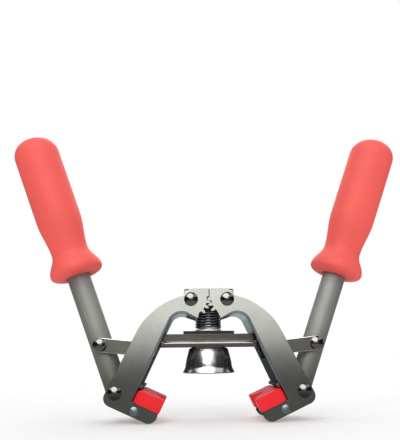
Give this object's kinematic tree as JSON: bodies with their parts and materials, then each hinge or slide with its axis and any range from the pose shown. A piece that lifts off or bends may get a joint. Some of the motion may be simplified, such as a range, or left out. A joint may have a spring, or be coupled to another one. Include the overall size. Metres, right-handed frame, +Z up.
{
  "type": "bottle capper",
  "caption": "Hand bottle capper whose side levers close geared neck jaws and draw a sprung crossbar and bell down over a crown cap.",
  "frame": {"origin": "under the middle of the tool, level with the lowest points of its jaws", "axes": "+X runs across from the left lever to the right lever, +Y from the front plates to the rear plates, +Z up"},
  "size_m": [0.28, 0.044, 0.2051],
  "materials": {
    "jaw_sheet": "bright plated sheet steel",
    "lever_tube": "dull plated tube",
    "grip": "smooth coral red plastic",
    "pad": "smooth bright red plastic",
    "link": "plated strip",
    "pin": "bright rivets",
    "crossbar": "plated channel",
    "bell": "polished",
    "spring": "dark blued wire",
    "bridge": "dark",
    "bush": "plain"
  },
  "bodies": {
    "bridge": {"top_bridge": "crossbar", "guide_bush": "bush", "return_spring": "spring", "left_top_pin": "pin", "right_top_pin": "pin"},
    "left_jaw": {"left_jaw": "jaw_sheet", "left_pad": "pad", "left_lever_pin": "pin", "left_toe_spacer": "pin"},
    "right_jaw": {"right_jaw": "jaw_sheet", "right_pad": "pad", "right_lever_pin": "pin", "right_toe_spacer": "pin"},
    "left_lever": {"left_lever": "lever_tube", "left_lever_bush": "bush", "left_grip": "grip", "left_link_pin": "pin"},
    "right_lever": {"right_lever": "lever_tube", "right_lever_bush": "bush", "right_grip": "grip", "right_link_pin": "pin"},
    "left_link": {"left_front_link": "link", "left_rear_link": "link", "left_ear_pin": "pin"},
    "right_link": {"right_front_link": "link", "right_rear_link": "link", "right_ear_pin": "pin"},
    "crossbar": {"crossbar": "crossbar", "spring_plate": "bridge", "spring_collar": "pin", "guide_rod": "pin", "bell": "bell"}
  },
  "joints": [
    {"name": "left_jaw_hinge", "type": "hinge", "parent": "bridge", "child": "left_jaw", "pos_m": [-0.0125, 0, 0.08431], "axis": [0, -1, 0], "range_deg": [0, 21]},
    {"name": "right_jaw_hinge", "type": "hinge", "parent": "bridge", "child": "right_jaw", "pos_m": [0.0125, 0, 0.08431], "axis": [0, 1, 0], "range_deg": [0, 21]},
    {"name": "left_lever_hinge", "type": "hinge", "parent": "left_jaw", "child": "left_lever", "pos_m": [-0.06485, 0, 0.02067], "axis": [0, -1, 0], "range_deg": [0, 27], "stiffness_Nm_per_rad": 0.8, "springref_deg": -28.65},
    {"name": "right_lever_hinge", "type": "hinge", "parent": "right_jaw", "child": "right_lever", "pos_m": [0.06485, 0, 0.02067], "axis": [0, 1, 0], "range_deg": [0, 27]},
    {"name": "left_link_hinge", "type": "hinge", "parent": "left_lever", "child": "left_link", "pos_m": [-0.07624, 0, 0.05356], "axis": [0, -1, 0], "range_deg": [-9.09, 0]},
    {"name": "right_link_hinge", "type": "hinge", "parent": "right_lever", "child": "right_link", "pos_m": [0.07624, 0, 0.05356], "axis": [0, 1, 0], "range_deg": [-9.09, 0]},
    {"name": "crossbar_slide", "type": "slide", "parent": "bridge", "child": "crossbar", "axis": [0, 0, -1], "range_m": [0, 0.01146], "deforming": ["return_spring"]}
  ],
  "couplings": [
    {"joint": "left_jaw_hinge", "follows": "left_lever_hinge", "ratio": 0.77778},
    {"joint": "right_jaw_hinge", "follows": "left_lever_hinge", "ratio": 0.77778},
    {"joint": "right_lever_hinge", "follows": "left_lever_hinge", "ratio": 1},
    {"joint": "left_link_hinge", "follows": "left_lever_hinge", "ratio": -0.33667},
    {"joint": "right_link_hinge", "follows": "left_lever_hinge", "ratio": -0.33667},
    {"joint": "crossbar_slide", "follows": "left_lever_hinge", "m_per_rad": 0.024318}
  ]
}
